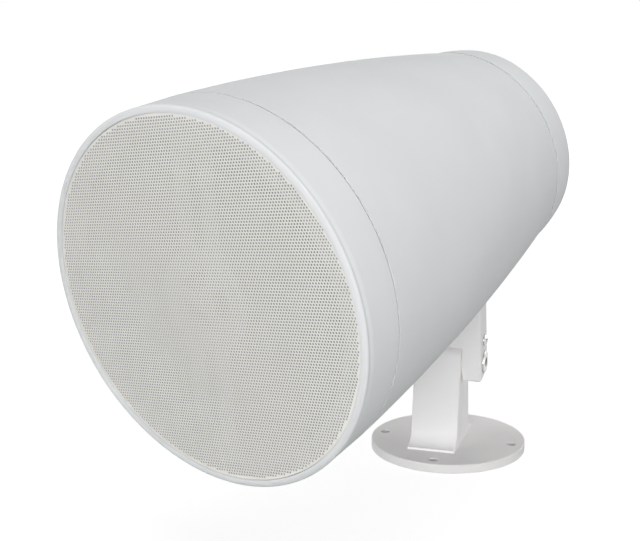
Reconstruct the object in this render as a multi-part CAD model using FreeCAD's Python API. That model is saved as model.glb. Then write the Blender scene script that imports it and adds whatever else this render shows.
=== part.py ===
import FreeCAD, Part
import math
import os
from FreeCAD import Placement, Rotation, Vector

# Sound projector on a tilting and swivelling bracket.
# World frame: origin under the middle of the base plate, +Z up, the stem's front towards -Y.
# Lengths are in millimetres and angles in degrees.

# Base plate and stem
plate_r = 45.0
plate_t = 5.3
plate_edge = 0.5
fixing_pcd = 76.0
fixing_hole_r = 2.75
fixing_count = 4
axis_x = -2.85
stem_w = 27.4
stem_shift = -1.85
foot_depth = 50.0
foot_edge = 1.2
flare_h = 9.0
waist_depth = 33.0
knuckle_r = 11.0
pivot_z = 54.0
stem_edge = 0.8
side_groove_w = 0.7
side_groove_deep = 0.5
side_groove_inset = 10.5
stem_screw_spread = 26.0
stem_screw_r = 2.5
stem_screw_head_r = 4.6
stem_screw_len = 16.0

# Yoke and its pivot
rest_tilt = 10.24
cheek_t = 11.0
yoke_depth = 19.0
cheek_drop = 9.5
cheek_rear_round = 6.0
yoke_edge = 2.2
knuckle_gap = 1.0
pivot_r = 4.0
running_gap = 0.05
face_gap = 0.1
friction_t = 0.6
friction_r = 10.0
pivot_head_r = 6.5
pivot_head_t = 3.6
pivot_head_proud = 1.0
head_chamfer = 0.5
socket_flats = 5.0
socket_deep = 2.0
nut_flats = 13.0
nut_t = 5.5
nut_crown = 2.5
lock_screw_h = 14.0
lock_screw_r = 2.0
lock_screw_len = 8.0
lock_head_r = 3.4
lock_head_t = 2.0

# Swivel between the yoke and the speaker
rest_swivel = -20.7
swivel_h = 116.5
turntable_r = 21.5
turntable_t = 5.0
boss_r = 20.0
boss_drop = 72.5
swivel_washer_t = 0.8
swivel_bolt_r = 4.0
swivel_head_r = 6.5
swivel_head_t = 8.0
swivel_grip = 10.0
swivel_socket_flats = 6.0
swivel_socket_deep = 4.0
bolt_tip_clear = 2.0
head_washer_r = 7.4
head_washer_t = 1.6
insert_r = 6.5
insert_len = 14.0
tower_wall = 4.0

# Speaker shell, along its own axis: y to the rear, y = 0 on the swivel axis
housing_len = 197.8
rear_seam_y = 23.4
front_ring_len = 26.0
rear_cap_len = 20.6
front_r = 92.6
rear_r = 60.7
tail_step = 3.7
bulge = 3.5
cap_bulge = 0.4
tail_round = 2.0
wall = 3.0
seam_gap = 0.8
seal_squeeze = 0.05
seal_recess = 0.5
fit_gap = 0.2
cut_past = 1.0
spigot_len = 8.0
spigot_wall = 2.6
spigot_step = 4.0

# Front ring, grille and dust cloth
lip_flare = 1.6
lip_len = 3.8
lip_crown = 1.2
lip_inner_round = 0.5
crease_front = 0.4
crease_rear = 2.4
crease_deep = 0.5
grille_margin = 2.3
grille_t = 0.8
ledge_margin = 6.6
ledge_t = 2.4
shoulder_wall = 4.4
hole_pitch = 14.2
hole_flats = 10.8
cloth_t = 0.4
cloth_edge = 0.3

# Baffle and driver, driver depths counted back from the baffle's front face
baffle_t = 5.0
baffle_screw_r = 1.9
baffle_head_r = 3.0
baffle_head_t = 2.2
baffle_screw_count = 4
screw_boss_r = 4.0
screw_boss_sink = 1.0
driver_margin = 12.6
driver_flange_t = 2.5
gasket_t = 1.0
gasket_w = 6.5
flange_w = 8.5
basket_clear = 1.0
basket_t = 2.1
basket_throat_r = 45.0
basket_depth = 36.0
basket_floor_t = 2.0
basket_floor_r = 40.0
basket_hole_r = 21.0
spider_step = 2.0
throat_len = 3.0
floor_drop = 4.0
window_count = 6
window_w = 24.0
window_rim = 8.0
window_foot = 3.0
window_turn = 30.0
driver_screw_count = 4
driver_screw_r = 1.9
driver_head_r = 3.2
driver_head_t = 2.4
surround_w = 11.5
cone_t = 0.9
cone_depth = 26.0
cone_sag = 2.5
surround_t = 0.9
surround_gap = 0.15
dust_cap_r = 22.0
dust_cap_h = 7.0
dust_cap_t = 0.8
glue_line = 0.5
coil_r = 17.4
coil_t = 0.5
coil_len = 30.0
coil_proud = 4.0
winding_t = 0.8
winding_len = 10.0
winding_start = 2.0
spider_t = 0.8
spider_wave = 2.2
spider_waves = 4
pole_r = 16.2
pole_vent_r = 4.0
pole_recess = 0.5
top_plate_t = 6.0
top_plate_r = 36.0
magnetic_gap_r = 19.3
magnet_r = 40.0
magnet_bore_r = 23.0
magnet_t = 16.0
back_plate_t = 5.0

# Rear cap fittings
cap_screw_inset = 9.5
cap_screw_count = 4
cap_screw_r = 1.9
cap_screw_len = 16.0
cap_head_r = 3.0
cap_head_t = 2.0
cap_post_r = 3.6
rib_w = 3.0
rib_sink = 1.0
screw_turn = 45.0
core_w = 40.0
core_h = 34.0
core_t = 22.0
core_leg = 13.0
core_window = 7.0
coil_overhang = 5.0
coil_clear = 0.3
frame_w = 62.0
frame_h = 18.0
frame_t = 1.5
frame_post_r = 4.0
frame_post_len = 9.0
frame_screw_r = 1.5
frame_head_r = 2.8
frame_head_t = 2.0
terminal_w = 34.0
terminal_h = 12.0
terminal_t = 14.0
terminal_z = 33.0
terminal_ways = 3
terminal_well_r = 2.6
terminal_well_deep = 8.0
gland_z = -32.0
gland_thread_r = 7.5
gland_flats = 19.0
gland_hex_t = 5.0
gland_tail = 11.0
gland_nose_r = 7.5
gland_nose_len = 6.0
gland_bore_r = 5.0
gland_cap_r = 9.5
gland_cap_len = 15.0
gland_mouth_r = 4.0
gland_mouth_len = 8.0
gland_seal_bore_r = 3.2
gland_nut_flats = 18.0
gland_nut_t = 4.0

# Places worked out from the sizes
front_seam_y = rear_seam_y - housing_len
front_y = front_seam_y - front_ring_len
tail_y = rear_seam_y + rear_cap_len
tail_r = rear_r - tail_step
shell_front_y = front_seam_y + seam_gap / 2
shell_rear_y = rear_seam_y - seam_gap / 2
front_spigot_r = front_r - wall - fit_gap
rear_spigot_end_y = shell_rear_y + spigot_len
rear_spigot_r = rear_r + (tail_r - rear_r) * (rear_spigot_end_y - rear_seam_y) / rear_cap_len - wall - fit_gap
lip_r = front_r + lip_flare
grille_r = front_r - grille_margin
ledge_r = front_r - ledge_margin
cloth_y = front_y + grille_t
seat_y = cloth_y + cloth_t
perforated_r = ledge_r - fit_gap
driver_r = front_r - driver_margin
basket_mouth_r = driver_r - flange_w
cone_r = basket_mouth_r - surround_w
cap_screw_ring_r = tail_r - cap_screw_inset
baffle_back_y = shell_front_y - spigot_len
baffle_y = baffle_back_y - baffle_t
baffle_screw_ring_r = front_spigot_r - spigot_wall - screw_boss_r + screw_boss_sink
driver_screw_ring_r = (driver_r + basket_mouth_r) / 2
flange_y = baffle_y - gasket_t
flange_front_y = flange_y - driver_flange_t
spider_seat_y = baffle_y + basket_depth - spider_step
cone_edge_y = flange_y - driver_flange_t / 2
cone_neck_y = cone_edge_y + cone_depth
coil_y = cone_neck_y - coil_proud
top_plate_y = baffle_y + basket_depth + floor_drop
magnet_y = top_plate_y + top_plate_t
back_plate_y = magnet_y + magnet_t
cap_inner_y = tail_y - wall
frame_y = cap_inner_y - frame_post_len - frame_t
core_y = frame_y - core_t
stem_left = stem_shift - stem_w / 2
stem_right = stem_shift + stem_w / 2
cheek_in = stem_right + face_gap + friction_t
cheek_out = cheek_in + cheek_t
nut_seat = stem_left - face_gap - friction_t
bridge_z = knuckle_r + knuckle_gap
yoke_top = swivel_h - boss_drop - face_gap - swivel_washer_t
swivel_seat = yoke_top - swivel_grip

base_frame = Placement()
stem_frame = Placement(Vector(axis_x, 0, 0), Rotation())
yoke_frame = Placement(Vector(axis_x, 0, pivot_z), Rotation(Vector(1, 0, 0), rest_tilt))
speaker_frame = yoke_frame * Placement(Vector(0, 0, swivel_h), Rotation(Vector(0, 0, 1), rest_swivel))

os.makedirs("parts", exist_ok=True)


def save(name, shape, frame):
    placed = shape.copy()
    placed.Placement = frame * placed.Placement
    placed.exportStep("parts/" + name + ".step")


# A closed flat face. A step is a point, or a middle point and an end point of an arc.
def flat_face(start, steps, lay):
    edges = []
    here = start
    for step in list(steps) + [start]:
        if isinstance(step[0], tuple):
            middle, end = step
            edges.append(Part.Arc(lay(here), lay(middle), lay(end)).toShape())
            here = end
        elif step != here:
            edges.append(Part.LineSegment(lay(here), lay(step)).toShape())
            here = step
    return Part.Face(Part.Wire(edges))


# A turned piece about the speaker's axis, from radius and y pairs.
def turned(start, *steps):
    face = flat_face(start, steps, lambda p: Vector(p[0], p[1], 0))
    return face.revolve(Vector(0, 0, 0), Vector(0, 1, 0), 360)


def ring(inner_r, outer_r, y0, y1):
    return turned((inner_r, y0), (outer_r, y0), (outer_r, y1), (inner_r, y1))


def along_y(radius, x, y0, y1, z):
    return Part.makeCylinder(radius, y1 - y0, Vector(x, y0, z), Vector(0, 1, 0))


def along_x(radius, x0, x1, y=0, z=0):
    return Part.makeCylinder(radius, x1 - x0, Vector(x0, y, z), Vector(1, 0, 0))


def along_z(radius, z0, z1, x=0, y=0):
    return Part.makeCylinder(radius, z1 - z0, Vector(x, y, z0))


def box(x0, x1, y0, y1, z0, z1):
    return Part.makeBox(x1 - x0, y1 - y0, z1 - z0, Vector(x0, y0, z0))


# A six-sided prism that starts at a point and runs along a direction.
def hex_prism(flats, start, direction, length):
    corner_r = flats / math.sqrt(3)
    points = [Vector(corner_r * math.cos(math.radians(60 * k)), corner_r * math.sin(math.radians(60 * k)), 0)
              for k in range(7)]
    prism = Part.Face(Part.makePolygon(points)).extrude(Vector(0, 0, length))
    prism.Placement = Placement(start, Rotation(Vector(0, 0, 1), direction))
    return prism


# An arc step up to the axis, along the sphere through a rim and a crown: it ends at the crown.
def dome(rim_r, rim_h, crown_h):
    rise = crown_h - rim_h
    sphere_r = (rim_r ** 2 + rise ** 2) / (2 * abs(rise))
    half = math.asin(rim_r / sphere_r) / 2
    middle = (sphere_r * math.sin(half), crown_h - math.copysign(sphere_r * (1 - math.cos(half)), rise))
    return middle, (0, crown_h)


# A screw with a domed head, head seat at the start, shank along the direction.
def round_screw(head_r, head_t, shank_r, shank_len, start, direction):
    steps = [(head_r, 0), (head_r, -head_t / 3), dome(head_r, -head_t / 3, -head_t)]
    face = flat_face((0, 0), steps, lambda p: Vector(p[0], 0, p[1]))
    head = face.revolve(Vector(0, 0, 0), Vector(0, 0, 1), 360)
    screw = head.fuse(Part.makeCylinder(shank_r, shank_len)).removeSplitter()
    screw.Placement = Placement(start, Rotation(Vector(0, 0, 1), direction))
    return screw


# Places spread evenly round the speaker's axis.
def round_axis(radius, count, first_angle):
    for k in range(count):
        angle = math.radians(first_angle + 360.0 * k / count)
        yield radius * math.cos(angle), radius * math.sin(angle)


# Outer radius of the convex barrel at a place along the axis.
def barrel_r(y):
    share = (y - front_seam_y) / housing_len
    return front_r + (rear_r - front_r) * share + 4 * bulge * share * (1 - share)


def make_base_plate():
    plate = along_z(plate_r, 0, plate_t)
    plate = plate.makeFillet(plate_edge, [e for e in plate.Edges if e.Closed])
    for k in range(fixing_count):
        angle = 2 * math.pi * k / fixing_count
        x = fixing_pcd / 2 * math.cos(angle)
        y = fixing_pcd / 2 * math.sin(angle)
        plate = plate.cut(along_z(fixing_hole_r, -cut_past, plate_t + cut_past, x, y))
    for y in (-stem_screw_spread / 2, stem_screw_spread / 2):
        plate = plate.cut(countersunk(y, running_gap))
    return plate


# Outline of a countersunk screw under the plate, grown by a clearance for its hole.
def countersunk(y, grow):
    head_h = stem_screw_head_r - stem_screw_r
    steps = [(stem_screw_head_r + grow, 0), (stem_screw_r + grow, head_h),
             (stem_screw_r + grow, stem_screw_len + grow), (0, stem_screw_len + grow)]
    face = flat_face((0, 0), steps, lambda p: Vector(p[0], 0, p[1]))
    screw = face.revolve(Vector(0, 0, 0), Vector(0, 0, 1), 360)
    screw.translate(Vector(axis_x + stem_shift, y, 0))
    return screw


# Side view of the stem: flared foot, then a column whose sides run tangent into the round knuckle.
def make_stem():
    foot = foot_depth / 2
    waist = waist_depth / 2
    foot_z = plate_t + foot_edge
    waist_z = plate_t + flare_h
    reach = math.hypot(waist, pivot_z - waist_z)
    lean = math.acos(knuckle_r / reach) - math.atan2(pivot_z - waist_z, waist)
    touch_y = knuckle_r * math.cos(lean)
    touch_z = pivot_z + knuckle_r * math.sin(lean)
    # The flare leaves the column tangent to it: its middle point lies off the chord by the sagitta.
    chord_y = foot - waist
    chord_z = foot_z - waist_z
    turn = math.atan2(chord_z, chord_y) - math.atan2(waist_z - touch_z, waist - touch_y)
    sagitta = math.tan(turn / 2) / 2
    flare_y = waist + chord_y / 2 + chord_z * sagitta
    flare_z = waist_z + chord_z / 2 - chord_y * sagitta
    steps = [(-foot, foot_z), ((-flare_y, flare_z), (-waist, waist_z)), (-touch_y, touch_z),
             ((0, pivot_z + knuckle_r), (touch_y, touch_z)), (waist, waist_z),
             ((flare_y, flare_z), (foot, foot_z)), (foot, plate_t)]
    outline = flat_face((-foot, plate_t), steps, lambda p: Vector(stem_left, p[0], p[1]))
    stem = outline.extrude(Vector(stem_w, 0, 0))
    rounded = [e for e in stem.Edges if e.BoundBox.XLength < stem_w / 2 and e.BoundBox.ZMin > foot_z - 1e-6]
    stem = stem.makeFillet(stem_edge, rounded)
    slope = (waist - touch_y) / (touch_z - waist_z)
    low_y = -waist - slope * (waist_z - plate_t) + side_groove_inset
    high_y = -touch_y + side_groove_inset
    corners = [(low_y, plate_t), (low_y + side_groove_w, plate_t), (high_y + side_groove_w, touch_z),
               (high_y, touch_z)]
    for side_x, side in ((stem_left, -1), (stem_right, 1)):
        inner_x = side_x - side * side_groove_deep
        strip = flat_face(corners[0], corners[1:], lambda p: Vector(inner_x, p[0], p[1]))
        stem = stem.cut(strip.extrude(Vector(side * stem_w, 0, 0)))
    stem = stem.cut(along_x(pivot_r + running_gap, -stem_w, stem_w, 0, pivot_z))
    for y in (-stem_screw_spread / 2, stem_screw_spread / 2):
        hole = countersunk(y, running_gap)
        hole.translate(Vector(-axis_x, 0, 0))
        stem = stem.cut(hole)
    return stem


# Arm beside the knuckle with a bridge over it and a round turntable on top, bored for both bolts.
def make_yoke():
    deep = yoke_depth / 2
    block = box(stem_left, cheek_out, -deep, deep, -cheek_drop, yoke_top)
    rounded = [e for e in block.Edges if e.BoundBox.ZMin < yoke_top / 2]
    block = block.makeFillet(yoke_edge, rounded)
    block = block.cut(box(stem_left - cut_past, cheek_in, -yoke_depth, yoke_depth, -yoke_depth, bridge_z))
    corner_y = deep - cheek_rear_round
    corner_z = cheek_rear_round - cheek_drop
    bit = box(cheek_in - cut_past, cheek_out + cut_past, corner_y, deep + cut_past, -yoke_depth, corner_z)
    bit = bit.cut(along_x(cheek_rear_round, cheek_in - yoke_depth, cheek_out + yoke_depth,
                          corner_y, corner_z))
    block = block.cut(bit)
    yoke = block.fuse(along_z(turntable_r, yoke_top - turntable_t, yoke_top)).removeSplitter()
    yoke = yoke.cut(along_x(pivot_r + running_gap, cheek_in - cut_past, cheek_out + cut_past))
    sink = pivot_head_t - pivot_head_proud
    yoke = yoke.cut(along_x(pivot_head_r + fit_gap, cheek_out - sink, cheek_out + cut_past))
    yoke = yoke.cut(along_z(swivel_bolt_r + running_gap, bridge_z, yoke_top + cut_past))
    yoke = yoke.cut(along_z(head_washer_r + fit_gap, bridge_z - cut_past, swivel_seat))
    lock_tip = cheek_out - lock_screw_len - fit_gap
    yoke = yoke.cut(along_x(lock_screw_r + running_gap, lock_tip, cheek_out + cut_past, 0, lock_screw_h))
    return yoke


def make_pivot_bolt():
    seat_x = cheek_out - pivot_head_t + pivot_head_proud
    head = along_x(pivot_head_r, seat_x, seat_x + pivot_head_t)
    rim = [e for e in head.Edges if e.Closed and e.CenterOfMass.x > seat_x + pivot_head_t / 2]
    head = head.makeChamfer(head_chamfer, rim)
    head = head.cut(hex_prism(socket_flats, Vector(seat_x + pivot_head_t - socket_deep, 0, 0),
                              Vector(1, 0, 0), socket_deep + cut_past))
    return head.fuse(along_x(pivot_r, nut_seat - nut_t, seat_x)).removeSplitter()


# Hexagon nut with a domed end that covers the bolt's tip.
def make_pivot_nut():
    nut = hex_prism(nut_flats, Vector(nut_seat, 0, 0), Vector(-1, 0, 0), nut_t)
    rim_r = nut_flats / 2
    end_x = nut_seat - nut_t
    face = flat_face((0, 0), [(rim_r, 0), dome(rim_r, 0, nut_crown)], lambda p: Vector(end_x - p[1], p[0], 0))
    nut = nut.fuse(face.revolve(Vector(0, 0, 0), Vector(1, 0, 0), 360))
    return nut.cut(along_x(pivot_r + running_gap, end_x, nut_seat + cut_past)).removeSplitter()


def make_swivel_bolt():
    head_top = swivel_seat - face_gap - head_washer_t
    head = along_z(swivel_head_r, head_top - swivel_head_t, head_top)
    socket_top = Vector(0, 0, head_top - swivel_head_t + swivel_socket_deep)
    head = head.cut(hex_prism(swivel_socket_flats, socket_top, Vector(0, 0, -1),
                              swivel_socket_deep + cut_past))
    tip = swivel_h - boss_drop + insert_len - bolt_tip_clear
    return head.fuse(along_z(swivel_bolt_r, head_top, tip)).removeSplitter()


# Tapered convex barrel with a spigot at each end, screw posts inside and the swivel boss below.
def make_housing():
    mid_y = (shell_front_y + shell_rear_y) / 2
    front_in_r = front_spigot_r - spigot_wall
    rear_in_r = rear_spigot_r - spigot_wall
    outer = turned((0, baffle_back_y), (front_spigot_r, baffle_back_y),
                   (front_spigot_r, shell_front_y), (front_r, shell_front_y),
                   ((barrel_r(mid_y), mid_y), (rear_r, shell_rear_y)), (rear_spigot_r, shell_rear_y),
                   (rear_spigot_r, rear_spigot_end_y), (0, rear_spigot_end_y))
    step_front_y = shell_front_y + spigot_step
    step_rear_y = shell_rear_y - spigot_step
    cavity = turned((0, baffle_back_y - cut_past), (front_in_r, baffle_back_y - cut_past),
                    (front_in_r, step_front_y), (barrel_r(step_front_y) - wall, step_front_y),
                    ((barrel_r(mid_y) - wall, mid_y), (barrel_r(step_rear_y) - wall, step_rear_y)),
                    (rear_in_r, step_rear_y), (rear_in_r, rear_spigot_end_y + cut_past),
                    (0, rear_spigot_end_y + cut_past))
    tower_r = insert_r + tower_wall
    tower_top = insert_len + tower_wall - boss_drop
    shell = outer.fuse(along_z(boss_r, -boss_drop, -boss_drop + boss_r)).cut(cavity)
    shell = shell.fuse(along_z(tower_r, -boss_drop + tower_wall, tower_top))
    for x, z in round_axis(baffle_screw_ring_r, baffle_screw_count, screw_turn):
        shell = shell.fuse(along_y(screw_boss_r, x, baffle_back_y, step_front_y + cut_past, z))
    for k in range(cap_screw_count):
        post = along_y(cap_post_r, cap_screw_ring_r, step_rear_y, cap_inner_y - fit_gap, 0)
        rib = box(cap_screw_ring_r, rear_spigot_r - rib_sink, step_rear_y, rear_spigot_end_y,
                  -rib_w / 2, rib_w / 2)
        post = post.fuse(rib)
        post.rotate(Vector(0, 0, 0), Vector(0, -1, 0), screw_turn + 360.0 * k / cap_screw_count)
        shell = shell.fuse(post)
    for x, z in round_axis(baffle_screw_ring_r, baffle_screw_count, screw_turn):
        shell = shell.cut(along_y(baffle_screw_r + running_gap, x, baffle_back_y - cut_past, step_front_y, z))
    for x, z in round_axis(cap_screw_ring_r, cap_screw_count, screw_turn):
        shell = shell.cut(along_y(cap_screw_r + running_gap, x, shell_rear_y, tail_y, z))
    shell = shell.cut(along_z(insert_r + running_gap, -boss_drop - cut_past,
                              insert_len + cut_past - boss_drop))
    return shell.removeSplitter()


# Bezel with a rounded lip, a crease with a sloping rear side behind it, and a ledge that carries the grille.
def make_front_ring():
    back_y = front_seam_y - seam_gap / 2
    crease_y = front_y + lip_len
    mouth_r = grille_r + fit_gap
    crown_r = (mouth_r + front_r) / 2
    crown_y = front_y - lip_crown
    in_r = front_r - wall
    shoulder_r = front_r - shoulder_wall
    inner_corner = lip_inner_round * (1 - math.sqrt(0.5))
    return turned((front_r, back_y), (front_r, crease_y + crease_rear),
                  (front_r - crease_deep, crease_y + crease_front), (front_r, crease_y),
                  ((lip_r, front_y), (crown_r, crown_y)), (mouth_r + lip_inner_round, crown_y),
                  ((mouth_r + inner_corner, crown_y + inner_corner), (mouth_r, crown_y + lip_inner_round)),
                  (mouth_r, seat_y), (ledge_r, seat_y), (ledge_r, seat_y + ledge_t),
                  (shoulder_r, seat_y + ledge_t), (shoulder_r, baffle_y - face_gap),
                  (in_r, baffle_y - face_gap), (in_r, back_y))


# Flat sheet with staggered six-sided holes over the whole open front.
def make_grille():
    outline = Part.Wire(Part.makeCircle(grille_r, Vector(0, front_y, 0), Vector(0, 1, 0)))
    corner_r = hole_flats / math.sqrt(3)
    row_h = hole_pitch * math.sqrt(3) / 2
    rows = int(perforated_r / row_h)
    cols = int(perforated_r / hole_pitch) + 1
    wires = [outline]
    for row in range(-rows, rows + 1):
        for col in range(-cols, cols + 1):
            x = (col + 0.5 * (row % 2)) * hole_pitch
            z = row * row_h
            if math.hypot(x, z) + corner_r < perforated_r:
                turns = [math.radians(30 + 60 * k) for k in range(7)]
                wires.append(Part.makePolygon([Vector(x + corner_r * math.cos(a), front_y,
                                                      z + corner_r * math.sin(a)) for a in turns]))
    sheet = Part.makeFace(wires, "Part::FaceMakerBullseye")
    return sheet.extrude(Vector(0, grille_t, 0))


def make_rear_cap():
    start_y = rear_seam_y + seam_gap / 2
    mid_y = (start_y + tail_y - tail_round) / 2
    edge_r = tail_r + (rear_r - tail_r) * tail_round / rear_cap_len
    mid_r = (rear_r + edge_r) / 2 + cap_bulge
    corner = tail_round * (1 - math.sqrt(0.5))
    cap = turned((0, tail_y), (tail_r - tail_round, tail_y),
                 ((tail_r - corner, tail_y - corner), (edge_r, tail_y - tail_round)),
                 ((mid_r, mid_y), (rear_r, start_y)), (rear_r - wall, start_y),
                 ((mid_r - wall, mid_y), (edge_r - wall, tail_y - tail_round)),
                 (tail_r - tail_round - wall, cap_inner_y), (0, cap_inner_y))
    for x in (-frame_w / 2 + frame_post_r, frame_w / 2 - frame_post_r):
        post = along_y(frame_post_r, x, cap_inner_y - frame_post_len, cap_inner_y, 0)
        cap = cap.fuse(post).cut(along_y(frame_screw_r + running_gap, x, frame_y, cap_inner_y, 0))
    for x, z in round_axis(cap_screw_ring_r, cap_screw_count, screw_turn):
        cap = cap.cut(along_y(cap_screw_r + fit_gap, x, cap_inner_y - cut_past, tail_y + cut_past, z))
    cap = cap.cut(along_y(gland_thread_r + fit_gap, 0, cap_inner_y - cut_past, tail_y + cut_past, gland_z))
    return cap.removeSplitter()


def make_baffle():
    front = baffle_y - cut_past
    back = baffle_back_y + cut_past
    baffle = ring(basket_mouth_r + basket_clear, front_spigot_r, baffle_y, baffle_back_y)
    for x, z in round_axis(baffle_screw_ring_r, baffle_screw_count, screw_turn):
        baffle = baffle.cut(along_y(baffle_screw_r + fit_gap, x, front, back, z))
    for x, z in round_axis(driver_screw_ring_r, driver_screw_count, 0):
        baffle = baffle.cut(along_y(driver_screw_r + running_gap, x, front, back, z))
    return baffle


# Pressed basket: flange, windowed cone, spider step and magnet floor.
def make_basket():
    throat_y = spider_seat_y - throat_len
    step_back_y = spider_seat_y + basket_t
    floor_y = top_plate_y - basket_floor_t
    throat_in_r = basket_throat_r - basket_t
    ledge = basket_floor_r - basket_t
    mouth_in_r = basket_mouth_r - basket_t
    basket = turned((driver_r, flange_front_y), (driver_r, flange_y), (basket_mouth_r, flange_y),
                    (basket_throat_r, throat_y), (basket_throat_r, step_back_y),
                    (basket_floor_r, step_back_y), (basket_floor_r, top_plate_y),
                    (basket_hole_r, top_plate_y), (basket_hole_r, floor_y),
                    (ledge, floor_y), (ledge, spider_seat_y), (throat_in_r, spider_seat_y),
                    (throat_in_r, throat_y), (mouth_in_r, flange_y), (mouth_in_r, flange_front_y))
    window = box(basket_throat_r - cut_past, driver_r + cut_past, flange_y + window_rim,
                 throat_y - window_foot, -window_w / 2, window_w / 2)
    for k in range(window_count):
        turned_window = window.copy()
        turned_window.rotate(Vector(0, 0, 0), Vector(0, 1, 0), window_turn + 360.0 * k / window_count)
        basket = basket.cut(turned_window)
    for x, z in round_axis(driver_screw_ring_r, driver_screw_count, 0):
        basket = basket.cut(along_y(driver_screw_r + fit_gap, x, flange_front_y - cut_past, baffle_y, z))
    return basket


def make_gasket():
    gasket = ring(driver_r - gasket_w, driver_r, flange_y, baffle_y)
    for x, z in round_axis(driver_screw_ring_r, driver_screw_count, 0):
        gasket = gasket.cut(along_y(driver_screw_r + fit_gap, x, flange_y - cut_past, baffle_y + cut_past, z))
    return gasket


def make_cone():
    mid_r = (cone_r + coil_r) / 2
    mid_y = (cone_edge_y + cone_neck_y) / 2 + cone_sag
    neck_r = coil_r + surround_gap
    return turned((cone_r, cone_edge_y), ((mid_r, mid_y), (neck_r, cone_neck_y)),
                  (neck_r, cone_neck_y + cone_t), ((mid_r, mid_y + cone_t), (cone_r, cone_edge_y + cone_t)))


# Half-roll edge between the cone and the basket's mouth.
def make_surround():
    inner = cone_r + surround_gap
    outer = basket_mouth_r - basket_t - surround_gap
    mid = (inner + outer) / 2
    roll = (outer - inner) / 2
    return turned((inner, cone_edge_y), ((mid, cone_edge_y - roll), (outer, cone_edge_y)),
                  (outer - surround_t, cone_edge_y),
                  ((mid, cone_edge_y - roll + surround_t), (inner + surround_t, cone_edge_y)))


# Height of the cone's front face at a radius, along the arc that shapes it.
def cone_y(radius):
    share = (cone_r - radius) / (cone_r - coil_r)
    return cone_edge_y + cone_depth * share + 4 * cone_sag * share * (1 - share)


def make_dust_cap():
    rim_y = cone_y(dust_cap_r) - glue_line
    inner_r = dust_cap_r - dust_cap_t
    outside = turned((0, rim_y), (dust_cap_r, rim_y), dome(dust_cap_r, rim_y, rim_y - dust_cap_h))
    inside = turned((0, rim_y), (inner_r, rim_y), dome(inner_r, rim_y, rim_y - dust_cap_h + dust_cap_t))
    return outside.cut(inside)


def make_voice_coil():
    winding_y = baffle_y + basket_depth + winding_start
    former = ring(coil_r - coil_t, coil_r, coil_y, coil_y + coil_len)
    return former.fuse(ring(coil_r - coil_t / 2, coil_r + winding_t, winding_y, winding_y + winding_len))


# Corrugated centring disc between the coil former and the basket's step.
def make_spider():
    inner = coil_r + surround_gap
    outer = basket_throat_r - basket_t - surround_gap
    seat = spider_seat_y - surround_gap - spider_t
    foot = basket_floor_r
    pitch = (foot - inner) / spider_waves
    front = []
    back = []
    for k in range(spider_waves):
        lift = -spider_wave if k % 2 == 0 else 0
        r0 = inner + k * pitch
        front.append(((r0 + pitch / 2, seat + lift), (r0 + pitch, seat)))
        back.insert(0, ((r0 + pitch / 2, seat + lift + spider_t), (r0, seat + spider_t)))
    front = [s if s[0][1] != seat else s[1] for s in front]
    back = [s if s[0][1] != seat + spider_t else s[1] for s in back]
    return turned((inner, seat), *front, (outer, seat), (outer, seat + spider_t), (foot, seat + spider_t),
                  *back)


def make_pole_piece():
    pole_y = top_plate_y + pole_recess
    back_y = back_plate_y + back_plate_t
    return turned((pole_vent_r, pole_y), (pole_r, pole_y), (pole_r, back_plate_y),
                  (top_plate_r, back_plate_y), (top_plate_r, back_y), (pole_vent_r, back_y))


# Laminated core with two windows beside its middle leg.
def make_core():
    core = box(-core_w / 2, core_w / 2, core_y, frame_y, -core_h / 2, core_h / 2)
    window_h = core_h - core_leg
    for side in (-1, 1):
        middle = side * (core_leg + core_window) / 2
        core = core.cut(box(middle - core_window / 2, middle + core_window / 2, core_y - cut_past,
                            frame_y + cut_past, -window_h / 2, window_h / 2))
    return core


def make_winding():
    half_w = core_leg / 2 + core_window - coil_clear
    half_h = (core_h - core_leg) / 2 - coil_clear
    winding = box(-half_w, half_w, core_y - coil_overhang, frame_y + coil_overhang, -half_h, half_h)
    upright = [e for e in winding.Edges if e.BoundBox.ZLength > half_h]
    winding = winding.makeFillet(core_window / 2, upright)
    leg = core_leg / 2 + coil_clear
    return winding.cut(box(-leg, leg, core_y - coil_clear, frame_y + coil_clear, -core_h, core_h))


def make_transformer_frame():
    frame = box(-frame_w / 2, frame_w / 2, frame_y, frame_y + frame_t, -frame_h / 2, frame_h / 2)
    slot_w = core_leg / 2 + core_window
    window_h = core_h - core_leg
    frame = frame.fuse(box(-core_w / 2, core_w / 2, frame_y, frame_y + frame_t, -core_h / 2, core_h / 2))
    front = frame_y - cut_past
    back = frame_y + frame_t + cut_past
    frame = frame.cut(box(-slot_w, slot_w, front, back, -window_h / 2, window_h / 2))
    for x in (-frame_w / 2 + frame_post_r, frame_w / 2 - frame_post_r):
        frame = frame.cut(along_y(frame_screw_r + fit_gap, x, front, back, 0))
    return frame.removeSplitter()


def make_terminal_block():
    back = cap_inner_y
    block = box(-terminal_w / 2, terminal_w / 2, back - terminal_t, back,
                terminal_z - terminal_h / 2, terminal_z + terminal_h / 2)
    pitch = terminal_w / terminal_ways
    for k in range(terminal_ways):
        x = (k - (terminal_ways - 1) / 2) * pitch
        block = block.cut(along_y(terminal_well_r, x, back - terminal_t - cut_past,
                                  back - terminal_t + terminal_well_deep, terminal_z))
    return block


# Cable entry: hex body through the rear cap, ring seal, mouth cap outside and lock nut inside.
def make_gland_body():
    out_y = tail_y + gland_hex_t
    body = hex_prism(gland_flats, Vector(0, tail_y, gland_z), Vector(0, 1, 0), gland_hex_t)
    body = body.fuse(along_y(gland_nose_r, 0, out_y, out_y + gland_nose_len, gland_z))
    body = body.fuse(along_y(gland_thread_r, 0, tail_y - gland_tail, tail_y, gland_z))
    end = out_y + gland_nose_len + cut_past
    return body.cut(along_y(gland_bore_r, 0, tail_y - gland_tail - cut_past, end, gland_z))


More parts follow.
